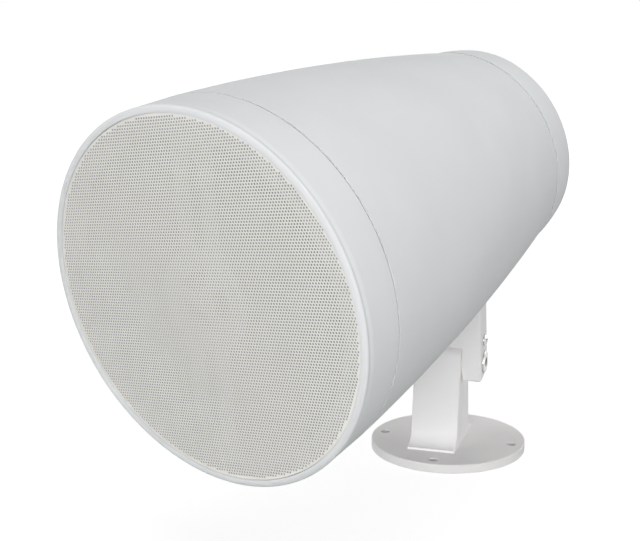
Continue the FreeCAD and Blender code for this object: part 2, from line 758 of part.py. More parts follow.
def make_gland_cap():
    start = tail_y + gland_hex_t + face_gap
    end = start + gland_cap_len
    cap = along_y(gland_cap_r, 0, start, end, gland_z)
    rim = [e for e in cap.Edges if e.Closed and e.CenterOfMass.y > (start + end) / 2]
    cap = cap.makeFillet(gland_cap_r / 3, rim)
    cap = cap.cut(along_y(gland_nose_r + running_gap, 0, start - cut_past, end - gland_mouth_len, gland_z))
    return cap.cut(along_y(gland_mouth_r, 0, start, end + cut_past, gland_z))


def make_gland_seal():
    end = tail_y + gland_hex_t + gland_nose_len
    start = end - gland_nose_len
    seal = along_y(gland_bore_r - running_gap, 0, start, end, gland_z)
    return seal.cut(along_y(gland_seal_bore_r, 0, start - cut_past, end + cut_past, gland_z))


def make_gland_nut():
    nut = hex_prism(gland_nut_flats, Vector(0, cap_inner_y, gland_z), Vector(0, -1, 0), gland_nut_t)
    return nut.cut(along_y(gland_thread_r + running_gap, 0, 0, tail_y, gland_z))


save("base_plate", make_base_plate(), base_frame)
save("stem", make_stem(), stem_frame)
for index, y in enumerate((-stem_screw_spread / 2, stem_screw_spread / 2)):
    save("stem_screw_%d" % (index + 1), countersunk(y, 0), base_frame)

save("yoke", make_yoke(), yoke_frame)
save("pivot_bolt", make_pivot_bolt(), yoke_frame)
save("pivot_nut", make_pivot_nut(), yoke_frame)
for name, left_x in (("friction_washer_left", nut_seat), ("friction_washer_right", cheek_in - friction_t)):
    disc = along_x(friction_r, left_x, left_x + friction_t)
    disc = disc.cut(along_x(pivot_r + running_gap, left_x - cut_past, left_x + friction_t + cut_past))
    save(name, disc, yoke_frame)
lock_seat = Vector(cheek_out, 0, lock_screw_h)
save("lock_screw", round_screw(lock_head_r, lock_head_t, lock_screw_r, lock_screw_len, lock_seat,
                               Vector(-1, 0, 0)), yoke_frame)
swivel_disc = along_z(turntable_r, yoke_top, yoke_top + swivel_washer_t)
save("swivel_washer", swivel_disc.cut(along_z(swivel_bolt_r + running_gap, 0, swivel_h)), yoke_frame)

save("swivel_bolt", make_swivel_bolt(), yoke_frame)
washer_top = swivel_seat - face_gap
head_washer = along_z(head_washer_r, washer_top - head_washer_t, washer_top)
save("swivel_bolt_washer", head_washer.cut(along_z(swivel_bolt_r + running_gap, 0, swivel_h)), yoke_frame)
insert = along_z(insert_r, face_gap - boss_drop, insert_len - boss_drop)
save("swivel_insert", insert.cut(along_z(swivel_bolt_r + running_gap, -swivel_h, 0)), speaker_frame)

save("housing", make_housing(), speaker_frame)
save("front_ring", make_front_ring(), speaker_frame)
save("grille", make_grille(), speaker_frame)
save("dust_cloth", along_y(grille_r - cloth_edge, 0, cloth_y, seat_y, 0), speaker_frame)
save("rear_cap", make_rear_cap(), speaker_frame)
half_seal = seam_gap / 2 - seal_squeeze
save("front_seal", ring(front_spigot_r + seal_squeeze, front_r - seal_recess, front_seam_y - half_seal,
                        front_seam_y + half_seal), speaker_frame)
save("rear_seal", ring(rear_spigot_r + seal_squeeze, rear_r - seal_recess, rear_seam_y - half_seal,
                       rear_seam_y + half_seal), speaker_frame)
for index, (x, z) in enumerate(round_axis(cap_screw_ring_r, cap_screw_count, screw_turn)):
    save("rear_cap_screw_%d" % (index + 1),
         round_screw(cap_head_r, cap_head_t, cap_screw_r, cap_screw_len, Vector(x, tail_y, z),
                     Vector(0, -1, 0)), speaker_frame)

save("baffle", make_baffle(), speaker_frame)
for index, (x, z) in enumerate(round_axis(baffle_screw_ring_r, baffle_screw_count, screw_turn)):
    save("baffle_screw_%d" % (index + 1),
         round_screw(baffle_head_r, baffle_head_t, baffle_screw_r, baffle_t + spigot_len,
                     Vector(x, baffle_y, z), Vector(0, 1, 0)), speaker_frame)
save("driver_gasket", make_gasket(), speaker_frame)
save("driver_basket", make_basket(), speaker_frame)
for index, (x, z) in enumerate(round_axis(driver_screw_ring_r, driver_screw_count, 0)):
    save("driver_screw_%d" % (index + 1),
         round_screw(driver_head_r, driver_head_t, driver_screw_r, baffle_back_y - flange_front_y,
                     Vector(x, flange_front_y, z), Vector(0, 1, 0)), speaker_frame)
save("surround", make_surround(), speaker_frame)
save("spider", make_spider(), speaker_frame)
save("top_plate", ring(magnetic_gap_r, top_plate_r, top_plate_y, magnet_y), speaker_frame)
save("magnet", ring(magnet_bore_r, magnet_r, magnet_y, back_plate_y), speaker_frame)
save("pole_piece", make_pole_piece(), speaker_frame)
save("cone", make_cone(), speaker_frame)
save("dust_cap", make_dust_cap(), speaker_frame)
save("voice_coil", make_voice_coil(), speaker_frame)

save("transformer_core", make_core(), speaker_frame)
save("transformer_winding", make_winding(), speaker_frame)
save("transformer_frame", make_transformer_frame(), speaker_frame)
for index, x in enumerate((-frame_w / 2 + frame_post_r, frame_w / 2 - frame_post_r)):
    save("transformer_screw_%d" % (index + 1),
         round_screw(frame_head_r, frame_head_t, frame_screw_r, frame_post_len, Vector(x, frame_y, 0),
                     Vector(0, 1, 0)), speaker_frame)
save("terminal_block", make_terminal_block(), speaker_frame)
save("gland_body", make_gland_body(), speaker_frame)
save("gland_cap", make_gland_cap(), speaker_frame)
save("gland_seal", make_gland_seal(), speaker_frame)
save("gland_nut", make_gland_nut(), speaker_frame)
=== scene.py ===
import math

import bmesh
import bpy
from mathutils import Matrix, Vector


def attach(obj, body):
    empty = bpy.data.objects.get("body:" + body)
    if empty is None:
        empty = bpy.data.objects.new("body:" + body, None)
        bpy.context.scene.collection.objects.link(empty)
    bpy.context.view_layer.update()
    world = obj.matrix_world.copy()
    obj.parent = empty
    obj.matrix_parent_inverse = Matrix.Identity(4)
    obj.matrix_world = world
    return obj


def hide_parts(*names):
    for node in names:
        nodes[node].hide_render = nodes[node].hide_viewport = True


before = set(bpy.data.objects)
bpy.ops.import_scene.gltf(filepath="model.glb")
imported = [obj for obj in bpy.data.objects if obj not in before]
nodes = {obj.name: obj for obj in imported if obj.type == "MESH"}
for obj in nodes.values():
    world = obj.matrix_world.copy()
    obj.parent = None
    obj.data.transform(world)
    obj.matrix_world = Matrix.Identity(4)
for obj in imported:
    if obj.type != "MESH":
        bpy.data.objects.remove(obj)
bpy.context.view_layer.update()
print("frame loaded:", len(nodes), "nodes")

mm = 0.001
plainWhite = (1, 1, 1, 1)
scene = bpy.context.scene
scene.view_settings.view_transform = "Standard"


def linear(hexColour):  # sRGB hex to the linear colour that the shader wants
    parts = [int(hexColour[k:k + 2], 16) / 255 for k in (1, 3, 5)]
    return [c / 12.92 if c <= 0.04045 else ((c + 0.055) / 1.055) ** 2.4 for c in parts] + [1.0]


def addNode(tree, kind, values=None):  # one node; a socket or a list of sockets is linked, the rest is set
    node = tree.nodes.new(kind)
    for key, value in (values or {}).items():
        sources = value if isinstance(value, list) else [value]
        if isinstance(sources[0], bpy.types.NodeSocket):
            for source in sources:
                tree.links.new(source, node.inputs[key])
        elif isinstance(key, str) and hasattr(node, key):
            setattr(node, key, value)
        else:
            node.inputs[key].default_value = value
    return node


def addInputs(tree, labels, kind):  # new inputs of a node group, by label
    face = tree.interface
    return {label: face.new_socket(label, in_out="INPUT", socket_type=kind).identifier for label in labels}


def emptyTree(owner):  # the node tree of a material or world, cleared
    owner.use_nodes = True
    owner.node_tree.nodes.clear()
    return owner.node_tree


def plainMesh(host):  # what an object evaluates to, kept as a plain mesh
    scene.collection.objects.link(host)
    mesh = bpy.data.meshes.new_from_object(host.evaluated_get(bpy.context.evaluated_depsgraph_get()))
    bpy.data.objects.remove(host)
    return mesh


def growMesh(name, tree, inputs, values):  # the mesh that a node group makes from these values
    host = bpy.data.objects.new(name, bpy.data.meshes.new(name))
    maker = host.modifiers.new(name, "NODES")
    maker.node_group = tree
    for label, value in values.items():
        maker[inputs[label]] = value
    return plainMesh(host)


def placeMesh(name, mesh, matrix, body):  # a finished mesh, moved into place and riding on its body
    mesh.transform(matrix)
    thing = bpy.data.objects.new(name, mesh)
    scene.collection.objects.link(thing)
    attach(thing, body)
    return thing


# where the speaker sits on its bracket: pivot, tilt, swivel height and turn, as in the part's source
stance = {"pivot": (-2.85, 0, 54), "tilt": 10.24, "rise": 116.5, "turn": -20.7}
pivotFrame = Matrix.Translation(Vector(stance["pivot"]) * mm)
yokeFrame = pivotFrame @ Matrix.Rotation(math.radians(stance["tilt"]), 4, "X")
swivelFrame = yokeFrame @ Matrix.Translation((0, 0, stance["rise"] * mm))
speakerFrame = swivelFrame @ Matrix.Rotation(math.radians(stance["turn"]), 4, "Z")


def facingFront(depth):  # a flat form drawn in X and Y, stood up across the speaker's axis
    return speakerFrame @ Matrix.Translation((0, depth * mm, 0)) @ Matrix.Rotation(math.pi / 2, 4, "X")


# camera at the photo's viewpoint
cameraSet = {"place": (177.0, -847.16, 319.97), "down": 13.874, "turn": 16.798, "roll": -0.079,
             "lens": 86.875, "sensor": 36, "near": 0.02}
cameraData = bpy.data.cameras.new("productCamera")
cameraData.sensor_fit = "HORIZONTAL"
cameraData.sensor_width = cameraSet["sensor"]
cameraData.lens = cameraSet["lens"]
cameraData.clip_start = cameraSet["near"]
camera = bpy.data.objects.new("productCamera", cameraData)
camera.location = Vector(cameraSet["place"]) * mm
camera.rotation_euler = (math.radians(90 - cameraSet["down"]), 0, math.radians(cameraSet["turn"]))
camera.rotation_euler.rotate_axis("Z", math.radians(cameraSet["roll"]))
scene.collection.objects.link(camera)
scene.camera = camera
print("camera set")

# Paint, plastic and metal: colour a little uneven, roughness that wanders with it, fine grain in the bump
plainLook = {"metal": 0.0, "ior": 1.5, "shine": 0.5}
unevenSet = {"tint": (0.35, 0.65), "roughFrom": 0.3, "roughTo": 0.7, "cloudDetail": 3.0, "grainDetail": 2.0,
             "grainDeep": 0.05}


def makeFinish(name, ownLook):
    look = {**plainLook, **ownLook}
    material = bpy.data.materials.new(name)
    tree = emptyTree(material)
    place = addNode(tree, "ShaderNodeTexCoord").outputs["Object"]
    cloud = addNode(tree, "ShaderNodeTexNoise", {"Scale": 1 / (look["cloud"] * mm), "Vector": place,
                                                 "Detail": unevenSet["cloudDetail"]}).outputs["Fac"]
    grain = addNode(tree, "ShaderNodeTexNoise", {"Scale": 1 / (look["grain"] * mm), "Vector": place,
                                                 "Detail": unevenSet["grainDetail"]}).outputs["Fac"]
    tint = addNode(tree, "ShaderNodeValToRGB", {"Fac": cloud})
    for stop, position, colour in zip(tint.color_ramp.elements, unevenSet["tint"], ("low", "high")):
        stop.position = position
        stop.color = linear(look[colour])
    rough = addNode(tree, "ShaderNodeMapRange",
                    {"From Min": unevenSet["roughFrom"], "From Max": unevenSet["roughTo"],
                     "To Min": look["rough"][0], "To Max": look["rough"][1],
                     "Value": cloud}).outputs["Result"]
    bump = addNode(tree, "ShaderNodeBump", {"Strength": look["bump"], "Distance": unevenSet["grainDeep"] * mm,
                                            "Height": grain}).outputs["Normal"]
    surface = addNode(tree, "ShaderNodeBsdfPrincipled",
                      {"Metallic": look["metal"], "IOR": look["ior"], "Specular IOR Level": look["shine"],
                       "Base Color": tint.outputs["Color"], "Roughness": rough, "Normal": bump})
    addNode(tree, "ShaderNodeOutputMaterial", {"Surface": surface.outputs["BSDF"]})
    return material


finishes = {
    # moulded ABS: nearly matt, a fine spark-eroded grain that softens every highlight
    "white_abs": ("mouldedWhiteAbs",
                  {"low": "#dee0e1", "high": "#e2e4e5", "cloud": 45, "grain": 0.7, "rough": (0.72, 0.8),
                   "bump": 0.25, "ior": 1.53, "shine": 0.2}),
    # powder coat on steel sheet: warm white, slightly dusty
    "white_painted_grille": ("powderCoatedSheet",
                             {"low": "#ebe9e4", "high": "#eceae5", "cloud": 30, "grain": 0.6,
                              "rough": (0.5, 0.6), "bump": 0.2, "shine": 0.3}),
    # enamel on cast aluminium: satin with a little orange peel
    "white_painted_aluminium": ("enamelledAluminium",
                                {"low": "#f1f0f0", "high": "#f4f3f3", "cloud": 35, "grain": 1.8,
                                 "rough": (0.42, 0.5), "bump": 0.12, "shine": 0.12}),
    # enamel on the turned plate: flatter and smoother than the casting
    "white_painted_steel": ("enamelledSteelPlate",
                            {"low": "#efeeed", "high": "#f2f1f0", "cloud": 40, "grain": 2.0,
                             "rough": (0.36, 0.44), "bump": 0.08, "shine": 0.1}),
    # stainless bolt: turned, bright, small change of gloss
    "stainless_steel": ("turnedStainless",
                        {"low": "#bdbdbb", "high": "#cfcfcd", "cloud": 2.5, "grain": 0.4,
                         "rough": (0.22, 0.34), "bump": 0.1, "metal": 1.0}),
    # zinc-plated screw: cool grey, patchy passivation
    "zinc_steel": ("zincPlatedSteel",
                   {"low": "#b3b8bd", "high": "#c8ccce", "cloud": 3, "grain": 0.5, "rough": (0.3, 0.42),
                    "bump": 0.1, "metal": 1.0}),
    # nylon washer: milky and waxy
    "white_nylon": ("milkyNylon",
                    {"low": "#e2e0d8", "high": "#e9e7df", "cloud": 8, "grain": 0.8, "rough": (0.38, 0.48),
                     "bump": 0.1}),
    # moulded rubber: dull black with a grey bloom
    "black_rubber": ("mouldedRubber",
                     {"low": "#1b1b1c", "high": "#2a2a2b", "cloud": 12, "grain": 0.6, "rough": (0.65, 0.8),
                      "bump": 0.3}),
    # silicone seal: soft mid grey; partly its own colour, partly painted shade that darkens the seam line as
    # the shadow in the gap would
    "grey_silicone": ("siliconeSealSeamShade",
                      {"low": "#a3a4a6", "high": "#acadaf", "cloud": 10, "grain": 0.6, "rough": (0.55, 0.7),
                       "bump": 0.2, "shine": 0.3}),
    # black ABS: satin with the same moulded grain
    "black_abs": ("mouldedBlackAbs",
                  {"low": "#29292b", "high": "#333336", "cloud": 25, "grain": 0.7, "rough": (0.45, 0.55),
                   "bump": 0.3}),
    # stoved black paint on pressed steel
    "black_painted_steel": ("stovedBlackSteel",
                            {"low": "#222224", "high": "#2d2d30", "cloud": 20, "grain": 0.9,
                             "rough": (0.35, 0.45), "bump": 0.2}),
    # pressed paper pulp: matt grey with short fibres
    "cone_pulp": ("pressedPulp",
                  {"low": "#3c3d3f", "high": "#55565a", "cloud": 2.2, "grain": 0.7, "rough": (0.75, 0.9),
                   "bump": 0.5}),
    # resin-stiffened cotton: tan
    "spider_cloth": ("resinCotton",
                     {"low": "#9a7d4e", "high": "#b4986a", "cloud": 1.2, "grain": 0.6, "rough": (0.7, 0.85),
                      "bump": 0.5}),
    # enamelled copper wire
    "copper_coil": ("enamelledCopper",
                    {"low": "#a8623a", "high": "#c47d4c", "cloud": 2, "grain": 0.5, "rough": (0.25, 0.4),
                     "bump": 0.3, "metal": 1.0}),
    # sintered ferrite: charcoal, chalky
    "ferrite": ("sinteredFerrite",
                {"low": "#37383b", "high": "#46474b", "cloud": 6, "grain": 0.8, "rough": (0.6, 0.75),
                 "bump": 0.4}),
    # bright zinc on turned mild steel
    "plated_steel": ("platedMildSteel",
                     {"low": "#a9acae", "high": "#c2c4c5", "cloud": 5, "grain": 0.5, "rough": (0.28, 0.4),
                      "bump": 0.1, "metal": 1.0}),
    # grey polyamide terminal block
    "grey_plastic": ("greyPolyamide",
                     {"low": "#85898c", "high": "#92969a", "cloud": 10, "grain": 0.7, "rough": (0.45, 0.6),
                      "bump": 0.2}),
    # turned brass insert
    "brass": ("turnedBrass",
              {"low": "#b8934a", "high": "#cfab5e", "cloud": 3, "grain": 0.5, "rough": (0.25, 0.38),
               "bump": 0.1, "metal": 1.0}),
}
finish = {slot: makeFinish(name, look) for slot, (name, look) in finishes.items()}
print("finishes made:", len(finish))

for thing in nodes.values():
    slotName = thing.data.materials[0].name.split(".")[0]
    if slotName in finish:
        thing.data.materials.clear()
        thing.data.materials.append(finish[slotName])
print("nodes dressed")

# Perforated front sheet: staggered holes, turned a little in its ring as the rows in the photo are
grilleSet = {"Pitch": 1.645, "Hole": 1.04, "Thick": 0.35, "Radius": 90.25, "Land": 1.0, "Turn": 12.3,
             "front": -200.4, "spareRows": 9.0, "sixOfRound": 0.55, "cellWeld": 0.02, "wallWeld": 0.005}
grilleLengths = ("Pitch", "Hole", "Thick", "Radius", "Land")
sheetTree = bpy.data.node_groups.new("perforatedSheet", "GeometryNodeTree")
sheetInputs = addInputs(sheetTree, grilleLengths + ("Turn", "Half"), "NodeSocketFloat")
sheetInputs.update(addInputs(sheetTree, ("Paint",), "NodeSocketMaterial"))
sheetTree.interface.new_socket("Sheet", in_out="OUTPUT", socket_type="NodeSocketGeometry")
tree = sheetTree
given = addNode(tree, "NodeGroupInput").outputs
rowStep = addNode(tree, "ShaderNodeMath", {"operation": "MULTIPLY", 0: given["Pitch"],
                                           1: math.sqrt(0.75)}).outputs[0]
halfPitch = addNode(tree, "ShaderNodeMath", {"operation": "MULTIPLY", 0: given["Pitch"], 1: 0.5}).outputs[0]
counts = []
for step in (given["Pitch"], rowStep):  # enough columns and rows to reach past the edge, always an odd number
    fits = addNode(tree, "ShaderNodeMath", {"operation": "DIVIDE", 0: given["Radius"], 1: step}).outputs[0]
    fits = addNode(tree, "ShaderNodeMath", {"operation": "CEIL", 0: fits}).outputs[0]
    number = addNode(tree, "ShaderNodeMath", {"operation": "MULTIPLY_ADD", 0: fits, 1: 2.0,
                                              2: grilleSet["spareRows"]}).outputs[0]
    gaps = addNode(tree, "ShaderNodeMath", {"operation": "SUBTRACT", 0: number, 1: 1.0}).outputs[0]
    span = addNode(tree, "ShaderNodeMath", {"operation": "MULTIPLY", 0: gaps, 1: step}).outputs[0]
    counts.append((number, span))
(columnCount, across), (rowCount, upright) = counts
points = addNode(tree, "GeometryNodeMeshGrid",
                 {"Size X": across, "Size Y": upright, "Vertices X": columnCount,
                  "Vertices Y": rowCount}).outputs["Mesh"]
spot = addNode(tree, "GeometryNodeInputPosition").outputs[0]
spotY = addNode(tree, "ShaderNodeSeparateXYZ", {0: spot}).outputs["Y"]
row = addNode(tree, "ShaderNodeMath", {"operation": "DIVIDE", 0: spotY, 1: rowStep}).outputs[0]
row = addNode(tree, "ShaderNodeMath", {"operation": "ROUND", 0: row}).outputs[0]
row = addNode(tree, "ShaderNodeMath", {"operation": "ABSOLUTE", 0: row}).outputs[0]
odd = addNode(tree, "ShaderNodeMath", {"operation": "MODULO", 0: row, 1: 2.0}).outputs[0]
shove = addNode(tree, "ShaderNodeMath", {"operation": "MULTIPLY", 0: odd, 1: halfPitch}).outputs[0]
shove = addNode(tree, "ShaderNodeCombineXYZ", {"X": shove}).outputs[0]  # every other row moves half a pitch
points = addNode(tree, "GeometryNodeSetPosition", {"Geometry": points, "Offset": shove}).outputs[0]
turn = addNode(tree, "ShaderNodeCombineXYZ", {"Z": given["Turn"]}).outputs[0]
turn = addNode(tree, "FunctionNodeEulerToRotation", {0: turn}).outputs[0]
points = addNode(tree, "GeometryNodeTransform", {"Geometry": points, "Rotation": turn}).outputs[0]
side = addNode(tree, "ShaderNodeMath", {"operation": "MULTIPLY", 0: spotY, 1: given["Half"]}).outputs[0]
side = addNode(tree, "FunctionNodeCompare", {"operation": "GREATER_EQUAL", "A": side, "B": 0.0}).outputs[0]
points = addNode(tree, "GeometryNodeSeparateGeometry",
                 {"domain": "POINT", "Geometry": points, "Selection": side}).outputs["Selection"]
flat = addNode(tree, "ShaderNodeVectorMath", {"operation": "MULTIPLY", 0: spot, 1: (1, 1, 0)}).outputs[0]
reach = addNode(tree, "ShaderNodeVectorMath", {"operation": "LENGTH", 0: flat}).outputs["Value"]
openEdge = addNode(tree, "ShaderNodeMath", {"operation": "SUBTRACT", 0: given["Radius"],
                                            1: given["Land"]}).outputs[0]
lastEdge = addNode(tree, "ShaderNodeMath", {"operation": "ADD", 0: given["Radius"], 1: halfPitch}).outputs[0]
isOpen = addNode(tree, "FunctionNodeCompare", {"operation": "LESS_THAN", "A": reach,
                                               "B": openEdge}).outputs[0]
isLand = addNode(tree, "FunctionNodeCompare", {"operation": "LESS_THAN", "A": reach,
                                               "B": lastEdge}).outputs[0]
inner = addNode(tree, "GeometryNodeSeparateGeometry",
                {"domain": "POINT", "Geometry": points, "Selection": isOpen}).outputs
land = addNode(tree, "GeometryNodeSeparateGeometry",
               {"domain": "POINT", "Geometry": inner["Inverted"], "Selection": isLand}).outputs["Selection"]
cellR = addNode(tree, "ShaderNodeMath", {"operation": "MULTIPLY", 0: given["Pitch"],
                                         1: 1 / math.sqrt(3)}).outputs[0]
cell = addNode(tree, "GeometryNodeMeshCircle",
               {"fill_type": "NGON", "Vertices": 6, "Radius": cellR}).outputs[0]
cellTurn = addNode(tree, "ShaderNodeMath", {"operation": "ADD", 0: given["Turn"], 1: math.pi / 6}).outputs[0]
cellTurn = addNode(tree, "ShaderNodeCombineXYZ", {"Z": cellTurn}).outputs[0]
cellTurn = addNode(tree, "FunctionNodeEulerToRotation", {0: cellTurn}).outputs[0]
cell = addNode(tree, "GeometryNodeTransform", {"Geometry": cell, "Rotation": cellTurn}).outputs[0]
# six-sided hole with the area of the round one: few faces, and it reads as round at this size
holeShare = addNode(tree, "ShaderNodeMath", {"operation": "DIVIDE", 0: given["Hole"], 1: cellR}).outputs[0]
holeShare = addNode(tree, "ShaderNodeMath", {"operation": "MULTIPLY", 0: holeShare,
                                             1: grilleSet["sixOfRound"]}).outputs[0]
inset = addNode(tree, "GeometryNodeExtrudeMesh", {"mode": "FACES", "Offset Scale": 0.0, "Mesh": cell}).outputs
holed = addNode(tree, "GeometryNodeScaleElements", {"domain": "FACE", "Geometry": inset["Mesh"],
                                                    "Selection": inset["Top"], "Scale": holeShare}).outputs[0]
holed = addNode(tree, "GeometryNodeDeleteGeometry",
                {"domain": "FACE", "Geometry": holed, "Selection": inset["Top"]}).outputs[0]
openCells = addNode(tree, "GeometryNodeInstanceOnPoints",
                    {"Points": inner["Selection"], "Instance": holed}).outputs[0]
landCells = addNode(tree, "GeometryNodeInstanceOnPoints", {"Points": land, "Instance": cell}).outputs[0]
cells = addNode(tree, "GeometryNodeJoinGeometry", {0: [openCells, landCells]}).outputs[0]
real = addNode(tree, "GeometryNodeRealizeInstances", {"Geometry": cells}).outputs[0]
outside = addNode(tree, "FunctionNodeCompare", {"operation": "GREATER_THAN", "A": reach,
                                                "B": given["Radius"]}).outputs[0]
rim = addNode(tree, "ShaderNodeVectorMath", {"operation": "NORMALIZE", 0: flat}).outputs[0]
rim = addNode(tree, "ShaderNodeVectorMath", {"operation": "SCALE", 0: rim,
                                             "Scale": given["Radius"]}).outputs[0]
trimmed = addNode(tree, "GeometryNodeSetPosition",
                  {"Geometry": real, "Selection": outside, "Position": rim}).outputs[0]
front = addNode(tree, "GeometryNodeMergeByDistance",
                {"Geometry": trimmed, "Distance": grilleSet["cellWeld"] * mm}).outputs[0]
# the flat sheet is the front; a turned-over copy, pushed back, makes the rear face and every hole's wall
back = addNode(tree, "ShaderNodeMath", {"operation": "MULTIPLY", 0: given["Thick"], 1: -1.0}).outputs[0]
back = addNode(tree, "ShaderNodeCombineXYZ", {"Z": back}).outputs[0]
rear = addNode(tree, "GeometryNodeFlipFaces", {"Mesh": front}).outputs[0]
rear = addNode(tree, "GeometryNodeExtrudeMesh", {"mode": "FACES", "Offset Scale": 1.0, "Individual": False,
                                                 "Mesh": rear, "Offset": back}).outputs["Mesh"]
sheet = addNode(tree, "GeometryNodeJoinGeometry", {0: [front, rear]}).outputs[0]
closed = addNode(tree, "GeometryNodeMergeByDistance",
                 {"Geometry": sheet, "Distance": grilleSet["wallWeld"] * mm}).outputs[0]
painted = addNode(tree, "GeometryNodeSetMaterial",
                  {"Geometry": closed, "Material": given["Paint"]}).outputs[0]
addNode(tree, "NodeGroupOutput", {0: painted})

for pieceName, half in (("grilleUpper", 1.0), ("grilleLower", -1.0)):  # two halves keep each mesh light
    values = {label: grilleSet[label] * mm for label in grilleLengths}
    values["Turn"] = math.radians(grilleSet["Turn"])
    values["Half"] = half
    values["Paint"] = finish["white_painted_grille"]
    sheetMesh = growMesh("sheetHost", sheetTree, sheetInputs, values)
    grille = placeMesh(pieceName, sheetMesh, facingFront(grilleSet["front"]), "speaker")
    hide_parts("grille")
    print(pieceName, len(sheetMesh.polygons), "faces")

latheSet = {"weld": 0.0001, "sharp": 35}


def turnProfile(name, profile, spokes, slotName):  # closed outline of radius and depth, turned round the axis
    mesh = bpy.data.meshes.new(name)
    body = bmesh.new()
    rows = []
    for spoke in range(spokes):
        a = 2 * math.pi * spoke / spokes
        wide, high = math.cos(a), math.sin(a)
        rows.append([body.verts.new((r * mm * wide, y * mm, r * mm * high)) for r, y in profile])
    for spoke in range(spokes):
        here, after = rows[spoke], rows[(spoke + 1) % spokes]
        for k in range(len(profile)):
            n = (k + 1) % len(profile)
            if profile[k][0] or profile[n][0]:  # a run along the axis has no face
                body.faces.new((here[k], after[k], after[n], here[n]))
    bmesh.ops.remove_doubles(body, verts=body.verts, dist=latheSet["weld"] * mm)
    bmesh.ops.recalc_face_normals(body, faces=body.faces)
    body.to_mesh(mesh)
    body.free()
    mesh.polygons.foreach_set("use_smooth", [True] * len(mesh.polygons))
    mesh.set_sharp_from_angle(angle=math.radians(latheSet["sharp"]))
    mesh.materials.append(finish[slotName])
    return mesh


# Bezel: turned ring that widens a little to the front, a fine crease, then a lip round the sheet with a flat
# front and a tight outer corner; each run is given as radius and depth
bezelSet = {"seamEdge": [(92.45, -174.8), (92.6, -174.95)],
            "flank": [(92.6, -174.8), (93.85, -195.9)],
            "flankRows": (0.02, 0.35, 0.7, 0.96, 1.0),  # close to its ends, so that it shades flat
            "crease": [(93.72, -197.0), (93.56, -198.4), (93.5, -198.9), (93.55, -199.05)],
            "lip": [(94.02, -199.2), (94.16, -199.5), (94.17, -199.95), (94.06, -200.4), (93.84, -200.8),
                    (93.5, -201.12), (93.05, -201.36), (92.5, -201.52), (92.0, -201.6), (91.0, -201.6),
                    (90.65, -201.45), (90.5, -201.1)],
            "inside": [(90.5, -199.2), (86.0, -199.2), (86.0, -196.8), (88.2, -196.8), (88.2, -187.1),
                       (89.6, -187.1), (89.6, -174.8)],
            "spokes": 256}
(startR, startY), (endR, endY) = bezelSet["flank"]
flank = []
for share in bezelSet["flankRows"]:
    flank.append((startR + (endR - startR) * share, startY + (endY - startY) * share))
outline = bezelSet["seamEdge"] + flank + bezelSet["crease"] + bezelSet["lip"] + bezelSet["inside"]
bezelMesh = turnProfile("frontBezel", outline, bezelSet["spokes"], "white_abs")
bezel = placeMesh("frontBezel", bezelMesh, speakerFrame, "speaker")
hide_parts("front_ring")
print("bezel turned:", len(bezelMesh.polygons), "faces")

# Tweeter bridge close behind the cloth, seen faintly through the sheet: rim, two slotted arms, hub with slots
bridgeSet = {"rim": 85.6, "mouth": 80.0, "hub": 24.7, "arm": 11.8, "fillet": 7.0,
             "slot": 3.6, "slotFrom": 29.0, "slotTo": 66.0,
             "sounds": 3, "soundIn": 6.5, "soundOut": 14.5, "soundHalf": 40.0,
             "middle": -198.1, "half": 0.8, "edge": 0.25, "edgeRows": 1, "room": 0.05, "weld": 0.001,
             "steps": {"rim": 160, "mouth": 72, "hub": 24, "bend": 6, "slot": 10, "soundOut": 16,
                       "soundIn": 10}}
steps = bridgeSet["steps"]


def arc(radius, start, end, count):  # points round the hub, angles in radians
    turns = [start + (end - start) * k / count for k in range(count + 1)]
    return [(radius * math.cos(a), radius * math.sin(a)) for a in turns]


def bend(start, corner, end, count):  # rounded corner between two runs
    run = []
    for k in range(1, count):
        q = k / count
        shares = ((1 - q) ** 2, 2 * q * (1 - q), q * q)
        run.append(tuple(sum(w * c for w, c in zip(shares, spots)) for spots in zip(start, corner, end)))
    return run


mouth, hub, arm, fillet = (bridgeSet[key] for key in ("mouth", "hub", "arm", "fillet"))
atRim = math.acos(arm / mouth)  # where an arm's side meets the rim and the hub
atHub = math.acos(arm / hub)
rimTop = mouth * math.sin(atRim)
hubTop = hub * math.sin(atHub)
rimRun = arc(mouth, -atRim + fillet / mouth, atRim - fillet / mouth, steps["mouth"])
hubRun = arc(hub, atHub - fillet / hub, -atHub + fillet / hub, steps["hub"])
outerEnd = (arm, rimTop - fillet)  # the ends of the straight part of an arm's side
innerEnd = (arm, hubTop + fillet)
opening = rimRun + bend(rimRun[-1], (arm, rimTop), outerEnd, steps["bend"]) + [outerEnd, innerEnd]
opening += bend(innerEnd, (arm, hubTop), hubRun[0], steps["bend"]) + hubRun
outerEnd = (arm, fillet - rimTop)
innerEnd = (arm, -hubTop - fillet)
opening += bend(hubRun[-1], (arm, -hubTop), innerEnd, steps["bend"]) + [innerEnd, outerEnd]
opening += bend(outerEnd, (arm, -rimTop), rimRun[0], steps["bend"])
slotEnd = arc(bridgeSet["slot"], 0, math.pi, steps["slot"])
slotStart = arc(bridgeSet["slot"], math.pi, 2 * math.pi, steps["slot"])
armSlot = [(x, z + bridgeSet["slotTo"]) for x, z in slotEnd]
armSlot += [(x, z + bridgeSet["slotFrom"]) for x, z in slotStart]
loops = [arc(bridgeSet["rim"], 0, 2 * math.pi, steps["rim"])[:-1], opening, [(-x, z) for x, z in opening],
         armSlot, [(x, -z) for x, z in armSlot]]
halfTurn = math.radians(bridgeSet["soundHalf"])
for number in range(bridgeSet["sounds"]):
    centre = 2 * math.pi * number / bridgeSet["sounds"]
    outerRun = arc(bridgeSet["soundOut"], centre - halfTurn, centre + halfTurn, steps["soundOut"])
    innerRun = arc(bridgeSet["soundIn"], centre + halfTurn, centre - halfTurn, steps["soundIn"])
    loops.append(outerRun + innerRun)
flatForm = bpy.data.curves.new("bridgeForm", "CURVE")
flatForm.dimensions = "2D"
flatForm.fill_mode = "BOTH"
